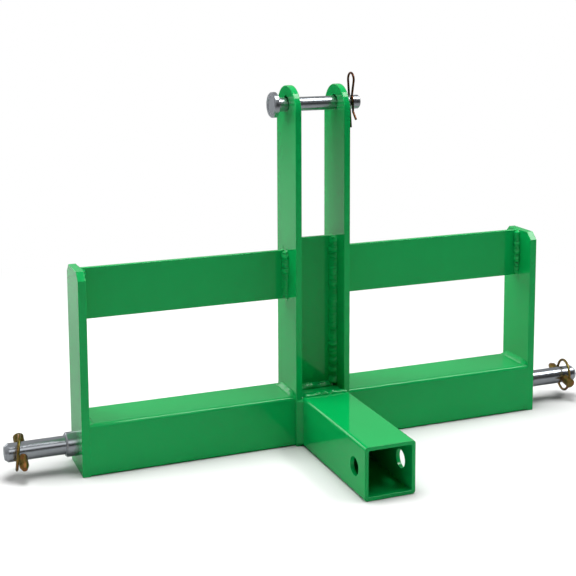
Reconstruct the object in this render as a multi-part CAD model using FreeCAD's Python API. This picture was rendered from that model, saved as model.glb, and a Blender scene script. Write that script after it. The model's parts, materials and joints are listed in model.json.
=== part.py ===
"""Three point receiver hitch for a small tractor, welded from square tube and flat bar.

Millimetres. +X runs along the crossbeam, +Y points back to the tractor, +Z is up.
The origin lies on the surface that the hitch stands on, straight under the middle
of the line that joins the two lower hitch pins.
"""
import FreeCAD, Part
import math
import os

V = FreeCAD.Vector

# Square tube, for the crossbeam, the centre block and the receiver
tube_side = 63.5
tube_wall = 4.76
tube_corner = 4.0

# Overall frame
frame_width = 619.1
receiver_length = 183.2
edge_round = 0.8

# Mast plates, flat bar on edge with a full round top
mast_width = 63.5
mast_thickness = 7.94
mast_gap = 57.15
mast_shift = -3.175
mast_proud = 3.175
pin_to_pin_height = 396.9
mast_past_pin = 23.75

# End plates
end_thickness = 9.525
end_height = 245.8
end_corner = 9.5

# Upper weight bars, and the centre plate between the masts
bar_height = 62.0
bar_thickness = 6.35
bar_drop = 1.1
bar_setback = 32.0
centre_thickness = 6.35
centre_rise = 14.9
centre_setback = 28.0

# Lower hitch pins
pin_diameter = 22.2
pin_reach = 85.4
pin_end_length = 4.0
pin_end_step = 3.0
shoulder_rim = 3.6
shoulder_length = 14.2
shoulder_chamfer = 1.6
spigot_diameter = 19.0
spigot_past_plate = 3.0
spigot_clearance = 0.1

# Linch pins, each through a cross hole near the free end of its hitch pin
linch_diameter = 11.1
linch_hole_clearance = 0.4
linch_hole_inset = 19.5
linch_head_rim = 0.8
linch_head_length = 12.0
linch_head_chamfer = 1.0
linch_past_pin = 17.8
linch_tip_length = 5.0
linch_tip_step = 2.35
linch_dip_left = 28.0
linch_dip_right = 14.5
linch_play_left = 0.4
linch_play_right = 2.4

# Snap rings of the linch pins
ring_wire = 3.5
ring_ear = 1.6
ring_bend = 6.0
ring_swing_gap = 3.3
ring_rest_gap = 0.3
ring_hole_clearance = 0.08
ring_end_gap = 4.2

# Top link pin, which lies loose on the bottom of its larger holes
top_pin_diameter = 17.5
top_pin_hole = 20.0
top_pin_seat_gap = 0.1
top_pin_chamfer = 1.6
top_head_diameter = 31.75
top_head_length = 6.35
top_head_chamfer = 1.5
top_head_off_mast = 14.1
dish_rim = 4.9
dish_depth = 0.9

# Hairpin clip of the top link pin
clip_wire = 2.8
clip_hole_clearance = 0.4
clip_off_mast = 13.0
clip_from_pin_end = 12.2
clip_swing = 8.4
clip_leg_past_pin = 23.4
clip_loop_radius = 8.4
clip_loop_rise = 18.9
clip_wrap_gap = 0.25
clip_wrap_angle = 38.0
clip_low_wrap_angle = 5.0
clip_drop = 12.0
clip_kick_length = 12.4
clip_kick_angle = 36.0

# Cross hole through the receiver for the drawbar's own pin
cross_hole_diameter = 22.2
cross_hole_inset = 28.6

# Weld beads
bead_upright = 6.0
bead_beam = 5.0
bead_step = 3.0
bead_receiver = 4.0
bead_receiver_rise = 3.0
bead_root_angle = 25.0
bead_spigot = 3.2

# Places that follow from the sizes above
beam_front = -tube_side / 2
beam_back = tube_side / 2
axis_height = tube_side / 2
half_frame = frame_width / 2
end_inner = half_frame - end_thickness
mast_front = beam_front - mast_proud
mast_back = mast_front + mast_width
mast_middle = (mast_front + mast_back) / 2
mast_in_left = mast_shift - mast_gap / 2
mast_in_right = mast_shift + mast_gap / 2
mast_out_left = mast_in_left - mast_thickness
mast_out_right = mast_in_right + mast_thickness
top_pin_height = axis_height + pin_to_pin_height
mast_height = top_pin_height + mast_past_pin
bar_top = end_height - bar_drop
bar_bottom = bar_top - bar_height
bar_front = beam_front + bar_setback
bar_back = bar_front + bar_thickness
centre_front = beam_front + centre_setback
centre_back = centre_front + centre_thickness
centre_top = bar_top + centre_rise
top_hole_height = top_pin_height + (top_pin_hole - top_pin_diameter) / 2 - top_pin_seat_gap
receiver_mouth = mast_front - receiver_length
cross_hole_place = receiver_mouth + cross_hole_inset
pin_tip = half_frame + pin_reach
linch_place = pin_tip - linch_hole_inset
linch_grip = pin_diameter + linch_past_pin
linch_head_radius = linch_diameter / 2 + linch_head_rim
top_head_under = mast_out_left - top_head_off_mast
clip_place = mast_out_right + clip_off_mast
top_pin_length = clip_place + clip_from_pin_end - top_head_under

# Snap ring: it reaches round the end of the hitch pin, from its hinge in the linch pin's head
linch_play_most = max(linch_play_left, linch_play_right)
hinge_to_pin_far_side = pin_diameter + linch_play_most + linch_head_length / 2
pin_corner_reach = math.hypot(linch_hole_inset - pin_end_length, hinge_to_pin_far_side)
ring_reach = pin_corner_reach + ring_wire / 2 + ring_swing_gap
ring_half_opening = linch_head_radius + ring_ear
ring_radius = (ring_reach ** 2 + ring_half_opening ** 2) / (2 * ring_reach)
ring_drop = ring_reach - ring_radius


def box(x0, x1, y0, y1, z0, z1):
    """Solid box between two corners."""
    return Part.makeBox(x1 - x0, y1 - y0, z1 - z0, V(x0, y0, z0))


def cylinder(radius, length, start, direction):
    """Solid cylinder from a start point along a direction."""
    return Part.makeCylinder(radius, length, start, direction)


def runs_along(edge, axis):
    """True where a straight edge is parallel to an axis vector."""
    if len(edge.Vertexes) != 2 or edge.Curve.TypeId != "Part::GeomLine":
        return False
    run = edge.Vertexes[1].Point.sub(edge.Vertexes[0].Point)
    return run.cross(axis).Length < 1e-6


def lies_in(edge, axis, place):
    """True where the whole edge lies in the plane at a place along an axis."""
    points = edge.discretize(3)
    return all(abs(point.dot(axis) - place) < 1e-6 for point in points)


def long_rounded(solid, axis, radius):
    """Round the edges of a bar that run along its axis."""
    return solid.makeFillet(radius, [e for e in solid.Edges if runs_along(e, axis)])


def square_tube(outer, axis, wall, corner):
    """Square tube from its outer box: rounded corners, and the same wall all round."""
    b = outer.BoundBox
    shell = long_rounded(outer, axis, corner)
    low = V(b.XMin + wall, b.YMin + wall, b.ZMin + wall)
    high = V(b.XMax - wall, b.YMax - wall, b.ZMax - wall)
    if axis.x:
        low.x, high.x = b.XMin, b.XMax
    if axis.y:
        low.y, high.y = b.YMin, b.YMax
    hollow = box(low.x, high.x, low.y, high.y, low.z, high.z)
    inner_corner = max(corner - wall, wall / 3)
    return shell.cut(long_rounded(hollow, axis, inner_corner))


def faced_plate(profile, x0, thickness):
    """Plate across X from a closed profile in the YZ plane, with its rims rounded."""
    plate = Part.Face(profile).extrude(V(thickness, 0, 0))
    rims = [e for e in plate.Edges
            if lies_in(e, V(1, 0, 0), x0) or lies_in(e, V(1, 0, 0), x0 + thickness)]
    return plate.makeFillet(edge_round, rims)


def mast_plate(x0):
    """Upright flat bar from the floor, with a full round top and the top link pin hole."""
    arc_height = mast_height - mast_width / 2
    low_front = V(x0, mast_front, 0)
    low_back = V(x0, mast_back, 0)
    top_front = V(x0, mast_front, arc_height)
    top_back = V(x0, mast_back, arc_height)
    crown = Part.Arc(top_back, V(x0, mast_middle, mast_height), top_front)
    profile = Part.Wire([
        Part.LineSegment(low_front, low_back).toShape(),
        Part.LineSegment(low_back, top_back).toShape(),
        crown.toShape(),
        Part.LineSegment(top_front, low_front).toShape(),
    ])
    plate = faced_plate(profile, x0, mast_thickness)
    hole_start = V(x0 - 1, mast_middle, top_hole_height)
    return plate.cut(cylinder(top_pin_hole / 2, mast_thickness + 2, hole_start, V(1, 0, 0)))


def end_plate(x0):
    """End plate with both upper corners cut off and the hole for the hitch pin's spigot."""
    corners = [
        V(x0, beam_front, 0),
        V(x0, beam_back, 0),
        V(x0, beam_back, end_height - end_corner),
        V(x0, beam_back - end_corner, end_height),
        V(x0, beam_front + end_corner, end_height),
        V(x0, beam_front, end_height - end_corner),
    ]
    plate = faced_plate(Part.makePolygon(corners + corners[:1]), x0, end_thickness)
    hole_radius = spigot_diameter / 2 + spigot_clearance
    hole_start = V(x0 - 1, 0, axis_height)
    return plate.cut(cylinder(hole_radius, end_thickness + 2, hole_start, V(1, 0, 0)))


def upper_bar(x0, x1):
    """Flat bar between a mast and an end plate, where suitcase weights hang."""
    bar = box(x0, x1, bar_front, bar_back, bar_bottom, bar_top)
    return long_rounded(bar, V(1, 0, 0), edge_round)


def centre_plate():
    """Plate that stands on the centre block and ties the masts together."""
    plate = box(mast_in_left, mast_in_right, centre_front, centre_back, tube_side, centre_top)
    top_edges = [e for e in plate.Edges
                 if runs_along(e, V(1, 0, 0)) and lies_in(e, V(0, 0, 1), centre_top)]
    return plate.makeFillet(edge_round, top_edges)


def crossbeam(x0, x1):
    """One half of the crossbeam, a square tube from a mast to an end plate."""
    outer = box(x0, x1, beam_front, beam_back, 0, tube_side)
    return square_tube(outer, V(1, 0, 0), tube_wall, tube_corner)


def centre_block():
    """Short piece of tube between the masts, flush with their edges, that backs the receiver."""
    outer = box(mast_in_left, mast_in_right, mast_front, mast_front + tube_side, 0, tube_side)
    return square_tube(outer, V(1, 0, 0), tube_wall, tube_corner)


def receiver_tube():
    """Receiver: square tube with a softened mouth and a cross hole through both sides."""
    outer = box(-tube_side / 2, tube_side / 2, receiver_mouth, mast_front, 0, tube_side)
    tube = square_tube(outer, V(0, 1, 0), tube_wall, tube_corner)
    mouth = [e for e in tube.Edges if lies_in(e, V(0, 1, 0), receiver_mouth)]
    tube = tube.makeFillet(edge_round, mouth)
    hole_start = V(-tube_side, cross_hole_place, axis_height)
    return tube.cut(cylinder(cross_hole_diameter / 2, 2 * tube_side, hole_start, V(1, 0, 0)))


def turned(outline, origin, direction):
    """Turned piece: an outline of (distance, radius) pairs spun about a direction."""
    side = V(0, 0, 1).cross(direction)
    side.normalize()
    points = [origin + direction * along + side * radius for along, radius in outline]
    profile = Part.Face(Part.makePolygon(points + points[:1]))
    return profile.revolve(origin, direction, 360)


def linch_axis(dip, faces_back):
    """Direction from a linch pin's middle to its head, which dips below the horizontal."""
    lean = math.radians(dip)
    forward = V(0, -math.cos(lean), -math.sin(lean))
    return forward * -1 if faces_back else forward


def linch_setting(side):
    """How each linch pin sits: its dip, whether its head is at the back, and its play."""
    if side < 0:
        return linch_dip_left, True, linch_play_left
    return linch_dip_right, False, linch_play_right


def linch_places(side):
    """Middle of the hitch pin, direction to the head, and distance to the head's shoulder."""
    dip, faces_back, play = linch_setting(side)
    middle = V(side * linch_place, 0, axis_height)
    return middle, linch_axis(dip, faces_back), pin_diameter / 2 + play


def lower_pin(side):
    """Shouldered hitch pin: welded spigot, shoulder, shank, tapered end and linch hole."""
    shank = pin_diameter / 2
    shoulder = shank + shoulder_rim
    spigot = spigot_diameter / 2
    spigot_start = -end_thickness - spigot_past_plate
    pin = turned([
        (spigot_start, 0), (spigot_start, spigot), (0, spigot), (0, shoulder),
        (shoulder_length - shoulder_chamfer, shoulder),
        (shoulder_length, shoulder - shoulder_chamfer), (shoulder_length, shank),
        (pin_reach - pin_end_length, shank), (pin_reach, shank - pin_end_step), (pin_reach, 0),
    ], V(side * half_frame, 0, axis_height), V(side, 0, 0))
    middle, across, _ = linch_places(side)
    hole_start = middle - across * pin_diameter
    hole_radius = linch_diameter / 2 + linch_hole_clearance
    return pin.cut(cylinder(hole_radius, 2 * pin_diameter, hole_start, across))


def linch_pin(side):
    """Linch pin: tapered tip, shank, and a round head drilled across for its ring."""
    middle, to_head, seat = linch_places(side)
    shank = linch_diameter / 2
    head = linch_head_radius
    tip = seat - linch_grip
    crown = seat + linch_head_length
    pin = turned([
        (tip, 0), (tip, shank - linch_tip_step), (tip + linch_tip_length, shank), (seat, shank),
        (seat, head - linch_head_rim / 2), (seat + linch_head_rim / 2, head),
        (crown - linch_head_chamfer, head), (crown, head - linch_head_chamfer), (crown, 0),
    ], middle, to_head)
    pivot = middle + to_head * (seat + linch_head_length / 2)
    across = to_head.cross(V(side, 0, 0))
    hole_radius = ring_wire / 2 + ring_hole_clearance
    return pin.cut(cylinder(hole_radius, 4 * head, pivot - across * (2 * head), across))


def linch_ring(side):
    """Snap ring: an open circle of wire whose two ends turn inwards into the pin's head."""
    middle, to_head, seat = linch_places(side)
    pivot = middle + to_head * (seat + linch_head_length / 2)
    out = V(side, 0, 0)
    across = to_head.cross(out)
    wire = ring_wire / 2
    tilt = math.asin((linch_diameter / 2 + wire + ring_rest_gap) / ring_reach)
    hang = to_head * -math.cos(tilt) + out * math.sin(tilt)
    centre = pivot + hang * ring_drop
    bend_off = math.sqrt((ring_radius - ring_bend) ** 2 - (ring_drop - ring_bend) ** 2)

    def half(way):
        """Stub in the head, the bend after it, and the point where the hoop starts."""
        bend_centre = pivot + hang * ring_bend + across * (way * bend_off)
        outward = (bend_centre - centre).normalize()
        stub = pivot + across * (way * ring_end_gap / 2)
        bend_start = pivot + across * (way * bend_off)
        between = (outward - hang).normalize()
        hoop_start = centre + outward * ring_radius
        return stub, bend_start, bend_centre + between * ring_bend, hoop_start

    stub_a, bend_a, middle_a, hoop_a = half(-1)
    stub_b, bend_b, middle_b, hoop_b = half(1)
    spine = Part.Wire([
        Part.LineSegment(stub_a, bend_a).toShape(),
        Part.Arc(bend_a, middle_a, hoop_a).toShape(),
        Part.Arc(hoop_a, pivot + hang * ring_reach, hoop_b).toShape(),
        Part.Arc(hoop_b, middle_b, bend_b).toShape(),
        Part.LineSegment(bend_b, stub_b).toShape(),
    ])
    section = Part.Wire([Part.Circle(stub_a, across, wire).toShape()])
    return spine.makePipeShell([section], True, True)


def clip_upward():
    """Direction of the clip's straight leg, from its end to the loop; the loop swings back."""
    swing = math.radians(clip_swing)
    return V(0, math.sin(swing), math.cos(swing))


def top_link_pin():
    """Top link pin: dished head, long shank with a chamfered end, and the clip's hole."""
    head = top_head_diameter / 2
    shank = top_pin_diameter / 2
    dish = head - dish_rim
    pin = turned([
        (dish_depth - top_head_length, 0), (dish_depth - top_head_length, dish - dish_depth),
        (-top_head_length, dish), (-top_head_length, head - top_head_chamfer),
        (top_head_chamfer - top_head_length, head), (0, head), (0, shank),
        (top_pin_length - top_pin_chamfer, shank),
        (top_pin_length, shank - top_pin_chamfer), (top_pin_length, 0),
    ], V(top_head_under, mast_middle, top_pin_height), V(1, 0, 0))
    upward = clip_upward()
    hole_start = V(clip_place, mast_middle, top_pin_height) - upward * top_pin_diameter
    hole_radius = clip_wire / 2 + clip_hole_clearance
    return pin.cut(cylinder(hole_radius, 2 * top_pin_diameter, hole_start, upward))


def tangent_point(centre, radius, outside, way):
    """Where a line from an outside point touches a circle, on the chosen side."""
    run = (outside[0] - centre[0], outside[1] - centre[1])
    distance = math.hypot(run[0], run[1])
    heading = math.atan2(run[1], run[0]) + way * math.acos(radius / distance)
    return (centre[0] + radius * math.cos(heading), centre[1] + radius * math.sin(heading))


def top_pin_clip():
    """Hairpin clip: straight leg through the pin, round loop, leg that wraps the pin, kick."""
    upward = clip_upward()
    front = V(1, 0, 0).cross(upward)
    axis_point = V(clip_place, mast_middle, top_pin_height)

    def place(spot):
        """Point in space from its distances in front of and above the pin's axis."""
        return axis_point + front * spot[0] + upward * spot[1]

    pin_radius = top_pin_diameter / 2
    wrap_radius = pin_radius + clip_wire / 2 + clip_wrap_gap
    loop = (clip_loop_radius, pin_radius + clip_loop_rise)
    loop_start = (0, loop[1])
    loop_top = (loop[0], loop[1] + clip_loop_radius)
    leg_end = (0, -pin_radius - clip_leg_past_pin)
    high = math.radians(clip_wrap_angle)
    low = math.radians(clip_low_wrap_angle)
    half_way = (high - low) / 2
    wrap_start = (wrap_radius * math.cos(high), wrap_radius * math.sin(high))
    wrap_middle = (wrap_radius * math.cos(half_way), wrap_radius * math.sin(half_way))
    wrap_end = (wrap_radius * math.cos(low), -wrap_radius * math.sin(low))
    loop_end = tangent_point(loop, clip_loop_radius, wrap_start, 1)
    foot = (wrap_end[0] - clip_drop * math.sin(low), wrap_end[1] - clip_drop * math.cos(low))
    kick = math.radians(clip_kick_angle)
    kick_end = (foot[0] + clip_kick_length * math.sin(kick),
                foot[1] - clip_kick_length * math.cos(kick))
    spine = Part.Wire([
        Part.LineSegment(place(leg_end), place(loop_start)).toShape(),
        Part.Arc(place(loop_start), place(loop_top), place(loop_end)).toShape(),
        Part.LineSegment(place(loop_end), place(wrap_start)).toShape(),
        Part.Arc(place(wrap_start), place(wrap_middle), place(wrap_end)).toShape(),
        Part.LineSegment(place(wrap_end), place(foot)).toShape(),
        Part.LineSegment(place(foot), place(kick_end)).toShape(),
    ])
    section = Part.Wire([Part.Circle(place(leg_end), upward, clip_wire / 2).toShape()])
    return spine.makePipeShell([section], True, False, 2)


def bead(start, end, side_a, side_b, size):
    """Weld bead in the corner between two faces: a quarter rod with rounded ends."""
    along = (end - start).normalize()
    length = (end - start).Length - 2 * size
    if side_a.cross(side_b).dot(along) < 0:
        side_a, side_b = side_b, side_a
    zero = V(0, 0, 0)
    up = V(0, 0, 1)
    rod = Part.makeCylinder(size, length, zero, up, 90)
    low_end = Part.makeSphere(size, zero, up, -90, 0, 90)
    high_end = Part.makeSphere(size, up * length, up, 0, 90, 90)
    rod = rod.multiFuse([low_end, high_end]).removeSplitter()
    turn = FreeCAD.Rotation(side_a, side_b, along, "ZXY")
    rod.Placement = FreeCAD.Placement(start + along * size, turn)
    return rod


def upright_beads(x, way, low, high, faces):
    """Upright beads on the front and back faces of a bar, where its end meets a plate."""
    return [bead(V(x, y, low), V(x, y, high), V(way, 0, 0), V(0, facing, 0), bead_upright)
            for y, facing in zip(faces, (-1, 1))]


def beam_mast_beads(x, way):
    """Beads where the crossbeam meets a mast: over the top, and up the step at the back."""
    low = tube_corner
    high = tube_side - tube_corner
    top = bead(V(x, beam_front + tube_corner, tube_side), V(x, mast_back - tube_corner, tube_side),
               V(way, 0, 0), V(0, 0, 1), bead_beam)
    back = bead(V(x, mast_back, low), V(x, mast_back, high), V(-way, 0, 0), V(0, 1, 0), bead_step)
    return [top, back]


def beam_end_bead(x, way):
    """Bead over the top of the crossbeam, where it meets an end plate."""
    return bead(V(x, beam_front + tube_corner, tube_side), V(x, beam_back - tube_corner, tube_side),
                V(way, 0, 0), V(0, 0, 1), bead_beam)


def centre_plate_beads():
    """Beads up both edges of the centre plate and along its foot, front and back."""
    faces = (centre_front, centre_back)
    beads = []
    for x, way in ((mast_in_left, 1), (mast_in_right, -1)):
        beads += upright_beads(x, way, tube_side, centre_top, faces)
    left = mast_in_left + bead_upright
    right = mast_in_right - bead_upright
    for y, way in zip(faces, (-1, 1)):
        beads.append(bead(V(left, y, tube_side), V(right, y, tube_side), V(0, way, 0),
                          V(0, 0, 1), bead_upright))
    return beads


def receiver_bead():
    """Bead across the receiver's top: a low crown, and its root in the block's rounded corner."""
    left = max(mast_in_left, tube_corner - tube_side / 2)
    right = min(mast_in_right, tube_side / 2 - tube_corner)
    seam = V(left, mast_front, tube_side)
    corner_centre = seam + V(0, tube_corner, -tube_corner)

    def on_corner(degrees):
        """Point on the block's rounded corner, at an angle above the horizontal."""
        angle = math.radians(degrees)
        return corner_centre + V(0, -math.cos(angle), math.sin(angle)) * tube_corner

    front = seam - V(0, bead_receiver, 0)
    back = on_corner(90)
    crown = (front + back) * 0.5 + V(0, 0, bead_receiver_rise)
    root = on_corner(bead_root_angle)
    root_front = V(left, mast_front, root.z)
    profile = Part.Wire([
        Part.Arc(front, crown, back).toShape(),
        Part.Arc(back, on_corner((90 + bead_root_angle) / 2), root).toShape(),
        Part.LineSegment(root, root_front).toShape(),
        Part.LineSegment(root_front, seam).toShape(),
        Part.LineSegment(seam, front).toShape(),
    ])
    return Part.Face(profile).extrude(V(right - left, 0, 0))


def spigot_bead(side):
    """Ring of weld around the spigot, on the inner face of the end plate."""
    inner = V(side * end_inner, 0, axis_height)
    spigot = spigot_diameter / 2
    height = min(bead_spigot, spigot_past_plate)
    return turned([(0, spigot), (0, spigot + bead_spigot), (height, spigot)], inner,
                  V(-side, 0, 0))


def build():
    """All pieces, by node name."""
    nodes = {
        "mast_plate_left": mast_plate(mast_out_left),
        "mast_plate_right": mast_plate(mast_in_right),
        "crossbeam_left": crossbeam(-end_inner, mast_out_left),
        "crossbeam_right": crossbeam(mast_out_right, end_inner),
        "centre_block": centre_block(),
        "receiver_tube": receiver_tube(),
        "end_plate_left": end_plate(-half_frame),
        "end_plate_right": end_plate(end_inner),
        "upper_bar_left": upper_bar(-end_inner, mast_out_left),
        "upper_bar_right": upper_bar(mast_out_right, end_inner),
        "centre_plate": centre_plate(),
        "top_link_pin": top_link_pin(),
        "top_pin_clip": top_pin_clip(),
    }
    bar_faces = (bar_front, bar_back)
    for name, side, mast_x in (("left", -1, mast_out_left), ("right", 1, mast_out_right)):
        end_x = side * end_inner
        nodes["lower_pin_" + name] = lower_pin(side)
        nodes["linch_pin_" + name] = linch_pin(side)
        nodes["linch_ring_" + name] = linch_ring(side)
        nodes["weld_pin_" + name] = spigot_bead(side)
        nodes["weld_bar_to_mast_" + name] = Part.makeCompound(
            upright_beads(mast_x, side, bar_bottom, bar_top, bar_faces))
        nodes["weld_bar_to_end_" + name] = Part.makeCompound(
            upright_beads(end_x, -side, bar_bottom, bar_top, bar_faces))
        nodes["weld_beam_to_mast_" + name] = Part.makeCompound(beam_mast_beads(mast_x, side))
        nodes["weld_beam_to_end_" + name] = beam_end_bead(end_x, -side)
    nodes["weld_centre_plate"] = Part.makeCompound(centre_plate_beads())
    nodes["weld_receiver"] = receiver_bead()
    return nodes


os.makedirs("parts", exist_ok=True)
for node, shape in build().items():
    shape.exportStep("parts/" + node + ".step")
    print(node, len(shape.Solids), round(shape.Volume, 1), shape.isValid())
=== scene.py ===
"""Looks of the three point receiver hitch: green enamel, plated pins and laid weld beads."""
import json
import math
from typing import NamedTuple

import bmesh
import bpy
import numpy as np
from mathutils import Matrix, Vector


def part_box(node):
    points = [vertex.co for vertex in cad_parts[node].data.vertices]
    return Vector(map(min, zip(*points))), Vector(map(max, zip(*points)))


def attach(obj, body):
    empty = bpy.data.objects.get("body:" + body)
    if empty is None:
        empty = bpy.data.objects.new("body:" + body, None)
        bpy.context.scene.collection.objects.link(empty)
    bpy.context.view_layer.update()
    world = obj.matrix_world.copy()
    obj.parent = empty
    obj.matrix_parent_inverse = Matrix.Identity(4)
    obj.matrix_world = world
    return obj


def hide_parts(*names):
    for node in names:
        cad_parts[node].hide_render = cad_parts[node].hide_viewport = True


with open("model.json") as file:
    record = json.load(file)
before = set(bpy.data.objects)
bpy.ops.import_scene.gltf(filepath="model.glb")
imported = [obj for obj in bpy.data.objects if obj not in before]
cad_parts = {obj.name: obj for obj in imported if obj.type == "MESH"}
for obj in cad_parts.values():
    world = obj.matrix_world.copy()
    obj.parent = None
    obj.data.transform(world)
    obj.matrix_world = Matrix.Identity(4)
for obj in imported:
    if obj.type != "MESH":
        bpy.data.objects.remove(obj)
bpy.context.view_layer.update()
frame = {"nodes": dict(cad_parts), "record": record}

MM = 0.001

# Camera, fitted to the photograph's straight edges: metres, degrees and the photograph's pixels
CAMERA_PLACE = Vector((-0.582663, -1.375431, 0.56536))
CAMERA_YAW = 21.679
CAMERA_PITCH = -7.465
CAMERA_ROLL = 0.2195
FOCAL_PIXELS = 1199.914
LENS_CENTRE_ROW = 150.0
IMAGE_SIDE = 576
SENSOR_MM = 36.0

# World: the level that lights the object, and the levels that gloss sees away from and
# towards the bright side
WHITE = (1.0, 1.0, 1.0, 1.0)
ROOM_LEVEL = 0.05
BRIGHT_SIDE = (-0.5, 0.6, 0.5)
SIDE_SPAN = (-0.5, 0.9)
SIDE_LEVELS = (0.05, 0.5)

# Floor, in metres: its grey for the light, for gloss and for the eye in the open, the darker grey of
# the painted shadow close to the object and how far that painted shadow reaches, the painted pool
# of light that gloss sees on it, and where it fades to plain white
FLOOR_HALF_SIDE = 6.0
FLOOR_COLOUR = 0.78
FLOOR_IN_GLOSS = 0.33
FLOOR_SEEN = 0.84
FLOOR_PAINTED_SHADOW = 0.5
PAINTED_SHADOW_REACH = 0.06
FLOOR_ROUGHNESS = 0.9
POOL_PLACE = (-0.3, 1.0, 0.0)
POOL_SPAN = (0.4, 3.6)
POOL_LEVELS = (0.7, 0.06)
FADE_SPAN = (0.5, 1.1)

# Sizes of the finishes' patterns, in millimetres
ENAMEL_CLOUD = 90
PLATE_PEEL, PLATE_PEEL_DEPTH = 2.5, 0.005
WELD_LUMP, WELD_LUMP_DEPTH = 3.0, 0.45
ZINC_CLOUD = 14
CHROMATE_CLOUD = 9
CHROMATE_GRAIN = 1.2
WIRE_CLOUD = 7
MARK_DEPTH = 0.02
# A lathe's real feed marks are finer than this, and wouldn't show
TURNING_MARKS = 0.6
MARK_LENGTH = 50

# The range that a noise mostly keeps to, and the numbers of a Mix node's colour sockets
NOISE_SPAN = {"From Min": 0.3, "From Max": 0.7}
COLOUR_A, COLOUR_B, COLOUR_RESULT = 6, 7, 2

# Skin of a weld bead: lengths in millimetres, and shares of its width and height
GRID = 0.5
POINTS_ACROSS = 15
RIPPLE = 3.6
RIPPLE_BOW = 1.8
RIPPLE_DRIFT = 0.7
RIPPLE_POWER = 2.2
RIPPLE_MEAN = 0.7
WANDER = 14
WANDER_WIDTH, LUMP_WIDTH = 0.07, 0.06
RIPPLE_HEIGHT, LUMP_HEIGHT, WANDER_HEIGHT = 0.15, 0.55, 0.25
TAPER_POWER = 1.7
TOE_RUN_OUT = 3.0
OVERHANG_LOSS = 0.3
POLE_GAP = 0.2
TOE_SINK, POLE_SINK, ROOT_SINK = 0.15, 0.2, 0.5
SHARP_DEGREES = 50

# How lumpy a bead is, where 1 is a plain hand-laid one
ROUGH, UNEVEN, SMOOTH, FLAT = 1.5, 1.2, 0.4, 0.2

# Upright beads beside the bars and the centre plate, and those along its foot, in millimetres
BAR_LEG = 5.8
MAST_LEG = 9.0
END_LEG = 5.2
PLATE_LEG = 8.0
FOOT_LEG = 6.2
UPRIGHT_RISE = 1.7
UPRIGHT_RUN_OUT = 6.0
MAST_OVERHANG = 5.0
OVERHANG = 2.0
FOOT_INSET = 2.5

# The receiver's beads, in millimetres; those beside it reach nearly to the masts' outer edges
SEAM_INSET = 2.0
SHORT_RUN_OUT = 2.0
SIDE_LEG = 3.4
SIDE_SHARE = 0.92
SIDE_RISE = 0.2
SIDE_GAP_LOW, SIDE_GAP_HIGH = 1.5, 2.5

# The crossbeam's beads, in millimetres; the back corner's share keeps it inside the solids' box
BEAM_LEG = 6.0
BEAM_RISE = 0.4
BEAM_RUN_OUT = 13.0
MAST_INSET, END_INSET = 3, 1
CORNER_INSET = 4
CORNER_SHARE = 0.86
CORNER_RUN_OUT = 3.0
GROUND_HALF_WIDTH = 1.4
GROUND_RISE = 0.03
GROUND_RUN_OUT = 0.5


class Bead(NamedTuple):
    """A corner's line, the bead's two toes and its crown from it, and its ends and skin, in mm."""
    start: tuple
    end: tuple
    toe_a: tuple
    toe_b: tuple
    crown: tuple
    run_out: float
    overhang: float = 0.0
    lumpy: float = 1.0


def linear(hex_code):
    """sRGB hex colour as linear red, green, blue and alpha."""
    parts = [int(hex_code[i:i + 2], 16) / 255 for i in (1, 3, 5)]
    return tuple(c / 12.92 if c <= 0.04045 else ((c + 0.055) / 1.055) ** 2.4 for c in parts) + (1.0,)


def per_metre(size_mm):
    """Texture scale, in repeats per metre, of a pattern with this real spacing."""
    return 1000.0 / size_mm


def add(tree, kind, inputs=None, **settings):
    """Add a node, set its properties, and fill or link its inputs by name or number."""
    node = tree.nodes.new(kind)
    for name, value in settings.items():
        setattr(node, name, value)
    for name, value in (inputs or {}).items():
        if isinstance(value, bpy.types.NodeSocket):
            tree.links.new(value, node.inputs[name])
        else:
            node.inputs[name].default_value = value
    return node


def new_material(name):
    """Empty node material and its tree."""
    material = bpy.data.materials.new(name)
    material.use_nodes = True
    material.node_tree.nodes.clear()
    return material, material.node_tree


def green_enamel(name, peel_mm, depth_mm):
    """Glossy enamel over steel: near even colour, a wet gloss, and faint peel or a weld's lumps."""
    material, tree = new_material(name)
    place = add(tree, "ShaderNodeTexCoord").outputs["Object"]
    cloud = add(tree, "ShaderNodeTexNoise", {"Vector": place, "Scale": per_metre(ENAMEL_CLOUD),
                                             "Detail": 3.0}).outputs[0]
    colour = add(tree, "ShaderNodeMix", {0: cloud, COLOUR_A: linear("#04A14E"),
                                         COLOUR_B: linear("#06AB55")},
                 data_type="RGBA").outputs[COLOUR_RESULT]
    gloss = add(tree, "ShaderNodeMapRange", {**NOISE_SPAN, "Value": cloud, "To Min": 0.05,
                                             "To Max": 0.09}).outputs[0]
    peel = add(tree, "ShaderNodeTexNoise", {"Vector": place, "Scale": per_metre(peel_mm),
                                            "Detail": 2.0}).outputs[0]
    bump = add(tree, "ShaderNodeBump", {"Height": peel, "Distance": depth_mm * MM}).outputs[0]
    shader = add(tree, "ShaderNodeBsdfPrincipled", {"Base Color": colour, "Roughness": gloss,
                                                    "Normal": bump, "IOR": 1.42})
    add(tree, "ShaderNodeOutputMaterial", {"Surface": shader.outputs[0]})
    return material


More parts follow.
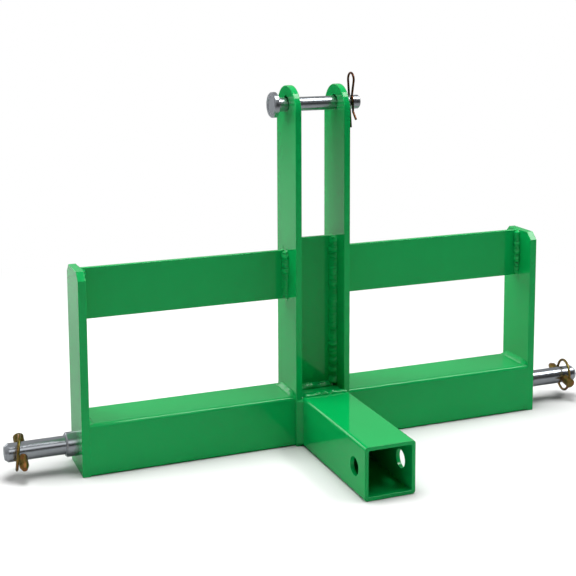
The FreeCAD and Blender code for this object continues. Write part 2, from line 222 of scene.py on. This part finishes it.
def zinc_steel():
    """Turned steel with bright zinc: silver, softly clouded, fine rings round it, and duller ends."""
    material, tree = new_material("bright zinc plated steel")
    coordinates = add(tree, "ShaderNodeTexCoord").outputs
    place = coordinates["Object"]
    cloud = add(tree, "ShaderNodeTexNoise", {"Vector": place, "Scale": per_metre(ZINC_CLOUD),
                                             "Detail": 2.0}).outputs[0]
    colour = add(tree, "ShaderNodeMix", {0: cloud, COLOUR_A: linear("#AEB3B9"),
                                         COLOUR_B: linear("#BFC4CA")},
                 data_type="RGBA").outputs[COLOUR_RESULT]
    stretch = (per_metre(TURNING_MARKS), per_metre(MARK_LENGTH), per_metre(MARK_LENGTH))
    rings = add(tree, "ShaderNodeMapping", {"Vector": place, "Scale": stretch}).outputs[0]
    marks = add(tree, "ShaderNodeTexNoise", {"Vector": rings, "Scale": 1.0, "Detail": 1.0}).outputs[0]
    bump = add(tree, "ShaderNodeBump", {"Height": marks, "Strength": 0.02,
                                        "Distance": MARK_DEPTH * MM}).outputs[0]
    gloss = add(tree, "ShaderNodeMapRange", {**NOISE_SPAN, "Value": marks, "To Min": 0.21,
                                             "To Max": 0.27}).outputs[0]
    along_pin = add(tree, "ShaderNodeSeparateXYZ", {0: coordinates["Normal"]}).outputs[0]
    facing = add(tree, "ShaderNodeMath", {0: along_pin}, operation="ABSOLUTE").outputs[0]
    matte = add(tree, "ShaderNodeMapRange", {"Value": facing, "From Min": 0.8, "From Max": 0.98,
                                             "To Min": 0.0, "To Max": 0.28}).outputs[0]
    gloss = add(tree, "ShaderNodeMath", {0: gloss, 1: matte}, operation="ADD").outputs[0]
    shader = add(tree, "ShaderNodeBsdfPrincipled", {"Base Color": colour, "Roughness": gloss,
                                                    "Normal": bump, "Metallic": 1.0})
    add(tree, "ShaderNodeOutputMaterial", {"Surface": shader.outputs[0]})
    return material


def yellow_zinc():
    """Steel with yellow chromate over zinc: olive that drifts through gold to copper, faint grain."""
    material, tree = new_material("yellow zinc plated steel")
    place = add(tree, "ShaderNodeTexCoord").outputs["Object"]
    cloud = add(tree, "ShaderNodeTexNoise", {"Vector": place, "Scale": per_metre(CHROMATE_CLOUD),
                                             "Detail": 2.0}).outputs[0]
    ramp = add(tree, "ShaderNodeValToRGB", {"Fac": cloud})
    olive, copper = ramp.color_ramp.elements
    olive.position, olive.color = NOISE_SPAN["From Min"], linear("#66602F")
    copper.position, copper.color = NOISE_SPAN["From Max"], linear("#A0653F")
    ramp.color_ramp.elements.new(0.5).color = linear("#8E783F")
    grain = add(tree, "ShaderNodeTexNoise", {"Vector": place, "Scale": per_metre(CHROMATE_GRAIN),
                                             "Detail": 2.0}).outputs[0]
    bump = add(tree, "ShaderNodeBump", {"Height": grain, "Strength": 0.08,
                                        "Distance": MARK_DEPTH * MM}).outputs[0]
    gloss = add(tree, "ShaderNodeMapRange", {**NOISE_SPAN, "Value": grain, "To Min": 0.24,
                                             "To Max": 0.38}).outputs[0]
    shader = add(tree, "ShaderNodeBsdfPrincipled", {"Base Color": ramp.outputs[0], "Roughness": gloss,
                                                    "Normal": bump, "Metallic": 1.0})
    add(tree, "ShaderNodeOutputMaterial", {"Surface": shader.outputs[0]})
    return material


def bronzed_wire():
    """Spring wire with dark yellow chromate: brown bronze, clouded from dark to copper."""
    material, tree = new_material("dark chromate spring wire")
    place = add(tree, "ShaderNodeTexCoord").outputs["Object"]
    cloud = add(tree, "ShaderNodeTexNoise", {"Vector": place, "Scale": per_metre(WIRE_CLOUD),
                                             "Detail": 3.0}).outputs[0]
    colour = add(tree, "ShaderNodeMix", {0: cloud, COLOUR_A: linear("#33201A"),
                                         COLOUR_B: linear("#7A4A2C")},
                 data_type="RGBA").outputs[COLOUR_RESULT]
    gloss = add(tree, "ShaderNodeMapRange", {**NOISE_SPAN, "Value": cloud, "To Min": 0.22,
                                             "To Max": 0.34}).outputs[0]
    shader = add(tree, "ShaderNodeBsdfPrincipled", {"Base Color": colour, "Roughness": gloss,
                                                    "Metallic": 1.0})
    add(tree, "ShaderNodeOutputMaterial", {"Surface": shader.outputs[0]})
    return material


def paint_nodes():
    """Give each CAD node the material of its slot, and return the materials by slot."""
    finishes = {
        "green_enamel": green_enamel("green enamel on plate", PLATE_PEEL, PLATE_PEEL_DEPTH),
        "weld_enamel": green_enamel("green enamel on weld", WELD_LUMP, WELD_LUMP_DEPTH),
        "zinc_steel": zinc_steel(),
        "yellow_zinc": yellow_zinc(),
        "bronzed_wire": bronzed_wire(),
    }
    for part in frame["record"]["subparts"]:
        mesh = frame["nodes"][part["node"]].data
        mesh.materials.clear()
        mesh.materials.append(finishes[part["material_slot"]])
    return finishes


def taper(from_end, run_out):
    """Growth from 0 to 1 over the run-out: 1 less a power of the share of it still to go."""
    return 1 - np.clip(1 - from_end / run_out, 0, 1) ** TAPER_POWER


def laid_bead(bead, seed):
    """Grid of one hand-laid weld bead in a corner, in metres, and its two end points.

    Across, angle a from 0 to pi runs over the crown: the first toe times half of 1 plus cos a,
    the second toe times half of 1 less cos a, and the crown times sin a. Along, the section
    tapers to nothing at both ends, and the first toe does so earlier by the overhang, past the
    end of its own plate. The hand's slow wander, soft lumps and crescent ripples, whose fronts
    bow ahead by sin a, scale it by 1 plus their weighted sum times the lumpiness. The last
    column is the root, sunk behind the corner.
    """
    start, end, toe_a, toe_b, crown = (np.array(v, float) for v in bead[:5])
    draw = np.random.default_rng(seed)
    length = np.linalg.norm(end - start)
    along = (end - start) / length
    up = crown / np.linalg.norm(crown)
    rows = int(length / GRID) + 1
    way = np.linspace(POLE_GAP, length - POLE_GAP, rows)[:, None]
    angle = np.linspace(0, math.pi, POINTS_ACROSS)[None, :]
    slow = draw.uniform(-1, 1, int(length / WANDER) + 4)
    wander = np.interp(way / WANDER, np.arange(len(slow)), slow)
    phase = (way + RIPPLE_BOW * np.sin(angle) + RIPPLE_DRIFT * wander) / RIPPLE
    lumps = draw.uniform(-1, 1, int(length / RIPPLE) + 4)
    lump = np.interp(phase, np.arange(len(lumps)), lumps)
    ripple = 1 - np.abs(2 * (phase % 1.0) - 1) ** RIPPLE_POWER
    from_end = np.minimum(way, length - way)
    taper_b = taper(from_end, bead.run_out)
    taper_a = taper(from_end - bead.overhang, min(bead.run_out, TOE_RUN_OUT))
    width = 1 + bead.lumpy * (WANDER_WIDTH * wander + LUMP_WIDTH * lump)
    skin = 1 + bead.lumpy * (RIPPLE_HEIGHT * (ripple - RIPPLE_MEAN) + LUMP_HEIGHT * lump
                             + WANDER_HEIGHT * wander)
    height = taper_b * (1 - OVERHANG_LOSS * (1 - taper_a)) * skin
    line = start + along * way[..., None]
    over = (line + toe_a * (taper_a * width * (1 + np.cos(angle)) / 2)[..., None]
            + toe_b * (taper_b * width * (1 - np.cos(angle)) / 2)[..., None]
            + crown * (height * np.sin(angle))[..., None]
            - up * TOE_SINK * (1 - np.sin(angle))[..., None])
    grid = np.concatenate([over, line - up * ROOT_SINK], axis=1)
    poles = np.array([start, end]) - up * POLE_SINK
    return grid * MM, poles * MM


def closed_grid_faces(rows, columns, first):
    """Quads round a tube of grid points, and a fan to a pole at each end."""
    row, column = np.meshgrid(np.arange(rows - 1), np.arange(columns), indexing="ij")
    after = (column + 1) % columns
    quads = np.stack([row * columns + column, row * columns + after,
                      (row + 1) * columns + after, (row + 1) * columns + column], -1)
    ring = np.arange(columns)
    next_ring = np.roll(ring, -1)
    last = (rows - 1) * columns
    pole = np.full(columns, rows * columns)
    sheets = [quads.reshape(-1, 4), np.stack([pole, next_ring, ring], -1),
              np.stack([pole + 1, last + ring, last + next_ring], -1)]
    return [face for sheet in sheets for face in (sheet + first).tolist()]


def weld_piece(node, beads, material):
    """All beads of one CAD weld node as one closed mesh with outward faces that stands for it."""
    points, faces = [], []
    count = 0
    for number, bead in enumerate(beads):
        grid, poles = laid_bead(bead, sum(map(ord, node)) * 10 + number)
        rows, columns = grid.shape[:2]
        faces += closed_grid_faces(rows, columns, count)
        points += [grid.reshape(-1, 3), poles]
        count += rows * columns + len(poles)
    mesh = bpy.data.meshes.new("laid_" + node)
    mesh.from_pydata(np.concatenate(points).tolist(), [], faces)
    shell = bmesh.new()
    shell.from_mesh(mesh)
    bmesh.ops.recalc_face_normals(shell, faces=shell.faces)
    shell.to_mesh(mesh)
    shell.free()
    mesh.shade_smooth()
    mesh.set_sharp_from_angle(angle=math.radians(SHARP_DEGREES))
    mesh.materials.append(material)
    piece = bpy.data.objects.new("laid_" + node, mesh)
    bpy.context.scene.collection.objects.link(piece)
    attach(piece, "frame")
    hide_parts(node)


def corner_box(node):
    """Lowest and highest corner of a CAD node in millimetres."""
    low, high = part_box(node)
    return np.array(low) / MM, np.array(high) / MM


def corner_bead(start, end, toe_a, toe_b, rise, run_out, overhang=0.0, lumpy=1.0):
    """Bead between two faces at right angles: its crown rises midway between the toes."""
    middle = np.array(toe_a) + np.array(toe_b)
    crown = middle / np.linalg.norm(middle) * rise
    return Bead(start, end, toe_a, toe_b, crown, run_out, overhang, lumpy)


def upright_beads(x, way, low, high, faces, legs, overhang):
    """Upright beads in front of and behind a bar; they run out past it on the plate it meets."""
    return [corner_bead((x, y, low - overhang), (x, y, high + overhang), (way * legs[0], 0, 0),
                        (0, facing * legs[1], 0), UPRIGHT_RISE, UPRIGHT_RUN_OUT, overhang, ROUGH)
            for y, facing in zip(faces, (-1, 1))]


def beam_top_bead(x, way, front, back, top):
    """Bead over the top of the crossbeam, where it meets a plate."""
    return corner_bead((x, front, top), (x, back, top), (way * BEAM_LEG, 0, 0), (0, 0, BEAM_LEG),
                       BEAM_RISE, BEAM_RUN_OUT, lumpy=SMOOTH)


def ground_beads(x, low, high, faces):
    """Welds ground flush, where the beam's front and back run on into the plate's edges."""
    return [Bead((x, y, low), (x, y, high), (-GROUND_HALF_WIDTH, 0, 0), (GROUND_HALF_WIDTH, 0, 0),
                 (0, facing * GROUND_RISE, 0), GROUND_RUN_OUT)
            for y, facing in zip(faces, (-1, 1))]


def centre_plate_weld(material):
    """Upright beads where the centre plate meets the masts, and two along its foot."""
    top = corner_box("centre_block")[1][2]
    low, high = corner_box("centre_plate")
    faces = (low[1], high[1])
    beads = []
    for x, way in ((low[0], 1), (high[0], -1)):
        beads += upright_beads(x, way, low[2] + OVERHANG, high[2], faces, (PLATE_LEG, MAST_LEG),
                               OVERHANG)
    for y, way in zip(faces, (-1, 1)):
        beads.append(corner_bead((low[0] + FOOT_INSET, y, top), (high[0] - FOOT_INSET, y, top),
                                 (0, way * FOOT_LEG, 0), (0, 0, FOOT_LEG), UPRIGHT_RISE,
                                 SHORT_RUN_OUT))
    weld_piece("weld_centre_plate", beads, material)


def receiver_weld(material):
    """The bead across the receiver's top, where it meets the block, and one up each side of it."""
    block_low, block_high = corner_box("centre_block")
    tube_low, tube_high = corner_box("receiver_tube")
    bead_low, bead_high = corner_box("weld_receiver")
    seam, top = block_low[1], block_high[2]
    beads = [Bead((tube_low[0] + SEAM_INSET, seam, top), (tube_high[0] - SEAM_INSET, seam, top),
                  (0, bead_low[1] - seam, 0), (0, bead_high[1] - seam, 0), (0, 0, bead_high[2] - top),
                  SHORT_RUN_OUT, lumpy=UNEVEN)]
    for side, reach in ((tube_low[0], corner_box("mast_plate_left")[0][0]),
                        (tube_high[0], corner_box("mast_plate_right")[1][0])):
        beads.append(corner_bead((side, seam, SIDE_GAP_LOW), (side, seam, top - SIDE_GAP_HIGH),
                                 (SIDE_SHARE * (reach - side), 0, 0), (0, -SIDE_LEG, 0),
                                 SIDE_RISE, TOE_RUN_OUT, lumpy=FLAT))
    weld_piece("weld_receiver", beads, material)


def side_welds(name, way, material):
    """The welds of the bar and the beam on one side; way is -1 on the left and 1 on the right."""
    top = corner_box("centre_block")[1][2]
    bar_low, bar_high = corner_box("upper_bar_" + name)
    beam_low, beam_high = corner_box("crossbeam_" + name)
    mast_low, mast_high = corner_box("mast_plate_" + name)
    mast_x = mast_low[0] if way < 0 else mast_high[0]
    end_x = beam_low[0] if way < 0 else beam_high[0]
    faces = (bar_low[1], bar_high[1])
    weld_piece("weld_bar_to_mast_" + name,
               upright_beads(mast_x, way, bar_low[2], bar_high[2], faces, (BAR_LEG, MAST_LEG),
                             MAST_OVERHANG), material)
    weld_piece("weld_bar_to_end_" + name,
               upright_beads(end_x, -way, bar_low[2], bar_high[2], faces, (END_LEG, END_LEG),
                             OVERHANG), material)
    step = beam_high[1] - mast_high[1]
    back_corner = corner_bead((mast_x, mast_high[1], CORNER_INSET),
                              (mast_x, mast_high[1], top - CORNER_INSET), (-way * step, 0, 0),
                              (0, CORNER_SHARE * step, 0), BEAM_RISE, CORNER_RUN_OUT, lumpy=SMOOTH)
    weld_piece("weld_beam_to_mast_" + name,
               [beam_top_bead(mast_x, way, beam_low[1] + MAST_INSET, mast_high[1] - MAST_INSET, top),
                back_corner], material)
    weld_piece("weld_beam_to_end_" + name,
               [beam_top_bead(end_x, -way, beam_low[1] + END_INSET, beam_high[1] - END_INSET, top)]
               + ground_beads(end_x, CORNER_INSET, top - CORNER_INSET, (beam_low[1], beam_high[1])),
               material)


def seen_rays(tree):
    """Light Path's outputs, and 1 for the rays that show the studio: camera, glossy, transmission."""
    rays = add(tree, "ShaderNodeLightPath").outputs
    seen = add(tree, "ShaderNodeMath", {0: rays["Is Camera Ray"], 1: rays["Is Glossy Ray"]},
               operation="MAXIMUM").outputs[0]
    seen = add(tree, "ShaderNodeMath", {0: seen, 1: rays["Is Transmission Ray"]},
               operation="MAXIMUM").outputs[0]
    return rays, seen


def studio_world():
    """White all round for the eye; gloss and metal see it dim, and dimmer on the camera's side."""
    world = bpy.data.worlds.new("studio")
    bpy.context.scene.world = world
    world.use_nodes = True
    tree = world.node_tree
    tree.nodes.clear()
    rays, seen = seen_rays(tree)
    way = add(tree, "ShaderNodeTexCoord").outputs["Generated"]
    side = add(tree, "ShaderNodeVectorMath", {0: way, 1: BRIGHT_SIDE},
               operation="DOT_PRODUCT").outputs["Value"]
    level = add(tree, "ShaderNodeMapRange", {"Value": side, "From Min": SIDE_SPAN[0],
                                             "From Max": SIDE_SPAN[1], "To Min": SIDE_LEVELS[0],
                                             "To Max": SIDE_LEVELS[1]}).outputs[0]
    level = add(tree, "ShaderNodeMath", {0: level, 1: rays["Is Camera Ray"]},
                operation="MAXIMUM").outputs[0]
    plain = add(tree, "ShaderNodeBackground", {"Color": WHITE, "Strength": ROOM_LEVEL}).outputs[0]
    shown = add(tree, "ShaderNodeBackground", {"Color": WHITE, "Strength": level}).outputs[0]
    mix = add(tree, "ShaderNodeMixShader", {0: seen, 1: plain, 2: shown})
    add(tree, "ShaderNodeOutputWorld", {"Surface": mix.outputs[0]})


def floor_material():
    """Pale floor: shaded by the lamps near by with a painted contact shadow, plain white further out,
    and a fading painted pool of light to gloss.
    """
    material, tree = new_material("white studio floor")
    rays, seen = seen_rays(tree)
    place = add(tree, "ShaderNodeTexCoord").outputs["Object"]
    # Painted shadow: for the eye, the floor's grey darkens from the open tone to a darker one where
    # ambient occlusion finds the object close
    shadow_paint_mask = add(tree, "ShaderNodeAmbientOcclusion", {"Distance": PAINTED_SHADOW_REACH}).outputs["AO"]
    seen_tone_with_painted_shadow = add(tree, "ShaderNodeMapRange", {"Value": shadow_paint_mask, "To Min": FLOOR_PAINTED_SHADOW,
                                                 "To Max": FLOOR_SEEN}).outputs[0]
    tone = add(tree, "ShaderNodeMapRange", {"Value": rays["Is Camera Ray"], "To Min": FLOOR_COLOUR,
                                            "To Max": seen_tone_with_painted_shadow}).outputs[0]
    tone = add(tree, "ShaderNodeMath", {0: rays["Is Glossy Ray"], 1: FLOOR_IN_GLOSS - FLOOR_COLOUR,
                                        2: tone}, operation="MULTIPLY_ADD").outputs[0]
    paint = add(tree, "ShaderNodeBsdfPrincipled", {"Base Color": tone, "Roughness": FLOOR_ROUGHNESS,
                                                   "Specular IOR Level": 0.0}).outputs[0]
    # Painted pool of light: for gloss, the floor glows white, brightest near a set place and fading
    # with distance from it
    pool = add(tree, "ShaderNodeVectorMath", {0: place, 1: POOL_PLACE},
               operation="DISTANCE").outputs["Value"]
    level = add(tree, "ShaderNodeMapRange", {"Value": pool, "From Min": POOL_SPAN[0],
                                             "From Max": POOL_SPAN[1], "To Min": POOL_LEVELS[0],
                                             "To Max": POOL_LEVELS[1]}).outputs[0]
    level = add(tree, "ShaderNodeMath", {0: level, 1: rays["Is Camera Ray"]},
                operation="MAXIMUM").outputs[0]
    white = add(tree, "ShaderNodeEmission", {"Color": WHITE, "Strength": level}).outputs[0]
    far = add(tree, "ShaderNodeVectorMath", {0: place}, operation="LENGTH").outputs["Value"]
    fade = add(tree, "ShaderNodeMapRange", {"Value": far, "From Min": FADE_SPAN[0],
                                            "From Max": FADE_SPAN[1]},
               interpolation_type="SMOOTHSTEP").outputs[0]
    fade = add(tree, "ShaderNodeMath", {0: fade, 1: seen}, operation="MULTIPLY").outputs[0]
    mix = add(tree, "ShaderNodeMixShader", {0: fade, 1: paint, 2: white})
    add(tree, "ShaderNodeOutputMaterial", {"Surface": mix.outputs[0]})
    return material


def studio_floor():
    """Square floor under the object."""
    side = FLOOR_HALF_SIDE
    mesh = bpy.data.meshes.new("floor")
    mesh.from_pydata([(-side, -side, 0), (side, -side, 0), (side, side, 0), (-side, side, 0)], [],
                     [(0, 1, 2, 3)])
    mesh.materials.append(floor_material())
    floor = bpy.data.objects.new("floor", mesh)
    bpy.context.scene.collection.objects.link(floor)


def area_light(name, place, target, size, watts, in_gloss):
    """Soft lamp of a width and a depth, turned to a target, for the gloss or for the colour alone."""
    data = bpy.data.lights.new(name, "AREA")
    data.energy = watts
    data.shape = "RECTANGLE"
    data.size, data.size_y = size
    lamp = bpy.data.objects.new(name, data)
    lamp.visible_glossy = in_gloss
    lamp.visible_diffuse = not in_gloss
    lamp.location = place
    lamp.rotation_euler = (Vector(target) - Vector(place)).to_track_quat("-Z", "Y").to_euler()
    bpy.context.scene.collection.objects.link(lamp)


def lights():
    """Three soft lamps for the colour, and a strip, a front and a back one for the gloss."""
    area_light("overhead", (-0.1, 0.1, 2.4), (0, 0, 0.1), (1.3, 1.3), 60, False)
    area_light("right", (1.2, -0.5, 2.2), (0.3, -0.2, 0), (1.6, 0.5), 25, False)
    area_light("strip", (1.3, -0.6, 2.3), (1.3, -0.6, 0), (2.1, 0.9), 55, True)
    area_light("left", (-1.9, 1.0, 1.3), (0, 0, 0.2), (1.8, 1.8), 32, False)
    area_light("front", (-0.5, -2.2, 1.8), (0, 0, 0.1), (2.6, 1.2), 10, True)
    area_light("back", (-0.95, 2.0, 1.05), (0, 0, 0.1), (0.9, 0.9), 5.5, True)


def camera():
    """Camera at the photograph's viewing point."""
    data = bpy.data.cameras.new("camera")
    data.sensor_width = SENSOR_MM
    data.lens = FOCAL_PIXELS / IMAGE_SIDE * SENSOR_MM
    data.shift_y = (LENS_CENTRE_ROW - IMAGE_SIDE / 2) / IMAGE_SIDE
    view = bpy.data.objects.new("camera", data)
    view.matrix_world = (Matrix.Translation(CAMERA_PLACE)
                         @ Matrix.Rotation(math.radians(-CAMERA_YAW), 4, "Z")
                         @ Matrix.Rotation(math.radians(90 + CAMERA_PITCH), 4, "X")
                         @ Matrix.Rotation(math.radians(-CAMERA_ROLL), 4, "Z"))
    bpy.context.scene.collection.objects.link(view)
    bpy.context.scene.camera = view


finishes = paint_nodes()
centre_plate_weld(finishes["weld_enamel"])
receiver_weld(finishes["weld_enamel"])
for side, way in (("left", -1), ("right", 1)):
    side_welds(side, way, finishes["weld_enamel"])
studio_world()
studio_floor()
lights()
camera()
bpy.context.scene.view_settings.view_transform = "Standard"
